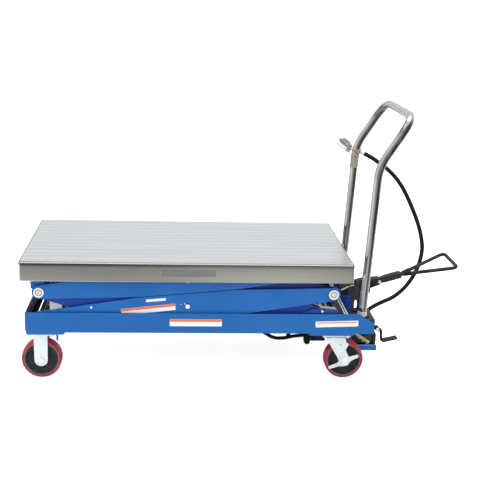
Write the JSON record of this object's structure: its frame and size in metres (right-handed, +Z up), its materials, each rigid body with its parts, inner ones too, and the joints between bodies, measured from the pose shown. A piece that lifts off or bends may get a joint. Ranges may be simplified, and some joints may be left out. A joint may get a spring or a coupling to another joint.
{
  "type": "scissor lift table",
  "caption": "Mobile double scissor lift table with a stainless clad platform, foot pump, hydraulic ram, push handle, air valve, rigid and braked swivel casters.",
  "frame": {"origin": "on the floor, under the middle of the overall bounding box", "axes": "+X towards the push handle along the length, +Y across the cart, +Z up"},
  "size_m": [1.6757, 0.61, 1.0231],
  "materials": {
    "stainless": "brushed stainless cladding with bent edges",
    "blue_paint": "semi-gloss powder coat on steel",
    "zinc": "pale bluish zinc plating",
    "chrome": "plated steel tube, lightly worn",
    "black_iron": "black painted casting",
    "crimson_tread": "crimson polyurethane",
    "black_rubber": "matt black hose",
    "brass": "dull machined fitting"
  },
  "bodies": {
    "root": {"base_frame": "blue_paint", "base_pivot_shaft": "zinc", "rigid_fork_near": "zinc", "rigid_fork_far": "zinc", "rigid_axle_near": "zinc", "rigid_axle_far": "zinc", "swivel_plate_near": "zinc", "swivel_plate_far": "zinc", "handle_tube": "chrome", "handle_socket_near": "black_iron", "handle_socket_far": "black_iron", "pump_bracket": "blue_paint", "pump_block": "black_iron", "air_valve_body": "brass", "air_hose": "black_rubber", "ram_base_pin": "zinc"},
    "lower_inner": {"lower_inner_frame": "blue_paint", "left_mid_pin_near": "zinc", "left_mid_pin_far": "zinc", "lower_centre_pin_near": "zinc", "lower_centre_pin_far": "zinc", "ram_rod_pin": "zinc"},
    "lower_outer": {"lower_outer_leg_near": "blue_paint", "lower_outer_leg_far": "blue_paint", "right_mid_pin_near": "zinc", "right_mid_pin_far": "zinc", "base_roller_shaft": "zinc"},
    "upper_outer": {"upper_outer_leg_near": "blue_paint", "upper_outer_leg_far": "blue_paint", "upper_centre_pin_near": "zinc", "upper_centre_pin_far": "zinc", "table_pivot_shaft": "zinc"},
    "upper_inner": {"upper_inner_frame": "blue_paint", "table_roller_shaft": "zinc"},
    "platform": {"platform_frame": "blue_paint", "platform_deck": "stainless"},
    "base_rollers": {"base_roller_near": "black_iron", "base_roller_far": "black_iron"},
    "table_rollers": {"table_roller_near": "black_iron", "table_roller_far": "black_iron"},
    "ram_barrel": {"ram_barrel": "black_iron"},
    "ram_rod": {"ram_rod": "chrome"},
    "pedal": {"foot_pedal": "black_iron"},
    "plunger": {"pump_plunger": "chrome"},
    "release": {"release_lever": "black_iron"},
    "valve_lever": {"air_valve_lever": "zinc"},
    "wheel_left_near": {"hub_left_near": "black_iron", "tread_left_near": "crimson_tread"},
    "wheel_right_near": {"hub_right_near": "black_iron", "tread_right_near": "crimson_tread"},
    "swivel_near": {"swivel_fork_near": "zinc", "swivel_axle_near": "zinc"},
    "brake_near": {"brake_lever_near": "zinc"},
    "wheel_left_far": {"hub_left_far": "black_iron", "tread_left_far": "crimson_tread"},
    "wheel_right_far": {"hub_right_far": "black_iron", "tread_right_far": "crimson_tread"},
    "swivel_far": {"swivel_fork_far": "zinc", "swivel_axle_far": "zinc"},
    "brake_far": {"brake_lever_far": "zinc"}
  },
  "joints": [
    {"name": "lift", "type": "hinge", "parent": "root", "child": "lower_inner", "pos_m": [0.32605, 0, 0.244], "axis": [0, 1, 0], "range_deg": [0, 25.7]},
    {"name": "lower_cross", "type": "hinge", "parent": "lower_inner", "child": "lower_outer", "pos_m": [-0.21895, 0, 0.2945], "axis": [0, 1, 0], "range_deg": [-52, 0]},
    {"name": "mid_pivot", "type": "hinge", "parent": "lower_inner", "child": "upper_outer", "pos_m": [-0.76395, 0, 0.345], "axis": [0, 1, 0], "range_deg": [-52, 0]},
    {"name": "upper_cross", "type": "hinge", "parent": "upper_outer", "child": "upper_inner", "pos_m": [-0.21895, 0, 0.3955], "axis": [0, 1, 0], "range_deg": [0, 52]},
    {"name": "platform_level", "type": "hinge", "parent": "upper_outer", "child": "platform", "pos_m": [0.32605, 0, 0.446], "axis": [0, 1, 0], "range_deg": [0, 26]},
    {"name": "base_roller_spin", "type": "hinge", "parent": "lower_outer", "child": "base_rollers", "pos_m": [-0.76395, 0, 0.244], "axis": [0, 1, 0], "range_deg": [0, 425]},
    {"name": "table_roller_spin", "type": "hinge", "parent": "upper_inner", "child": "table_rollers", "pos_m": [-0.76395, 0, 0.446], "axis": [0, 1, 0], "range_deg": [-425, 0]},
    {"name": "ram_swing", "type": "hinge", "parent": "root", "child": "ram_barrel", "pos_m": [0.28105, 0, 0.105], "axis": [0, 1, 0], "range_deg": [0, 25]},
    {"name": "ram_extend", "type": "slide", "parent": "ram_barrel", "child": "ram_rod", "axis": [-0.9619, 0, 0.2733], "range_m": [0, 0.066]},
    {"name": "wheel_spin_left_near", "type": "hinge", "parent": "root", "child": "wheel_left_near", "pos_m": [-0.76295, -0.222, 0.075], "axis": [0, 1, 0], "continuous": true},
    {"name": "caster_swivel_near", "type": "hinge", "parent": "root", "child": "swivel_near", "pos_m": [0.34705, -0.222, 0.165], "axis": [0, 0, 1], "continuous": true},
    {"name": "wheel_spin_right_near", "type": "hinge", "parent": "swivel_near", "child": "wheel_right_near", "pos_m": [0.38305, -0.222, 0.075], "axis": [0, 1, 0], "continuous": true},
    {"name": "brake_press_near", "type": "hinge", "parent": "swivel_near", "child": "brake_near", "pos_m": [0.38305, -0.222, 0.075], "axis": [0, 1, 0], "range_deg": [0, 30]},
    {"name": "wheel_spin_left_far", "type": "hinge", "parent": "root", "child": "wheel_left_far", "pos_m": [-0.76295, 0.222, 0.075], "axis": [0, 1, 0], "continuous": true},
    {"name": "caster_swivel_far", "type": "hinge", "parent": "root", "child": "swivel_far", "pos_m": [0.34705, 0.222, 0.165], "axis": [0, 0, 1], "continuous": true},
    {"name": "wheel_spin_right_far", "type": "hinge", "parent": "swivel_far", "child": "wheel_right_far", "pos_m": [0.38305, 0.222, 0.075], "axis": [0, 1, 0], "continuous": true},
    {"name": "brake_press_far", "type": "hinge", "parent": "swivel_far", "child": "brake_far", "pos_m": [0.38305, 0.222, 0.075], "axis": [0, 1, 0], "range_deg": [0, 30]},
    {"name": "pedal_press", "type": "hinge", "parent": "root", "child": "pedal", "pos_m": [0.45305, 0, 0.292], "axis": [0, 1, 0], "range_deg": [0, 25]},
    {"name": "plunger_stroke", "type": "slide", "parent": "root", "child": "plunger", "axis": [0, 0, 1], "range_m": [-0.0155, 0]},
    {"name": "release_press", "type": "hinge", "parent": "root", "child": "release", "pos_m": [0.54105, -0.088, 0.143], "axis": [0, 1, 0], "range_deg": [0, 12]},
    {"name": "valve_press", "type": "hinge", "parent": "root", "child": "valve_lever", "pos_m": [0.4453, 0.25921, 0.79982], "axis": [0.3523, 0.9359, 0], "range_deg": [0, 7]}
  ],
  "couplings": [
    {"joint": "lower_cross", "follows": "lift", "ratio": -2},
    {"joint": "mid_pivot", "follows": "lift", "ratio": -2},
    {"joint": "upper_cross", "follows": "lift", "ratio": 2},
    {"joint": "platform_level", "follows": "lift", "ratio": 1},
    {"joint": "base_roller_spin", "follows": "lift", "ratio": 16.361},
    {"joint": "table_roller_spin", "follows": "lift", "ratio": -16.361},
    {"joint": "ram_swing", "follows": "lift", "ratio": 0.9575},
    {"joint": "ram_extend", "follows": "lift", "m_per_rad": 0.14407},
    {"joint": "plunger_stroke", "follows": "pedal_press", "m_per_rad": -0.0345}
  ]
}
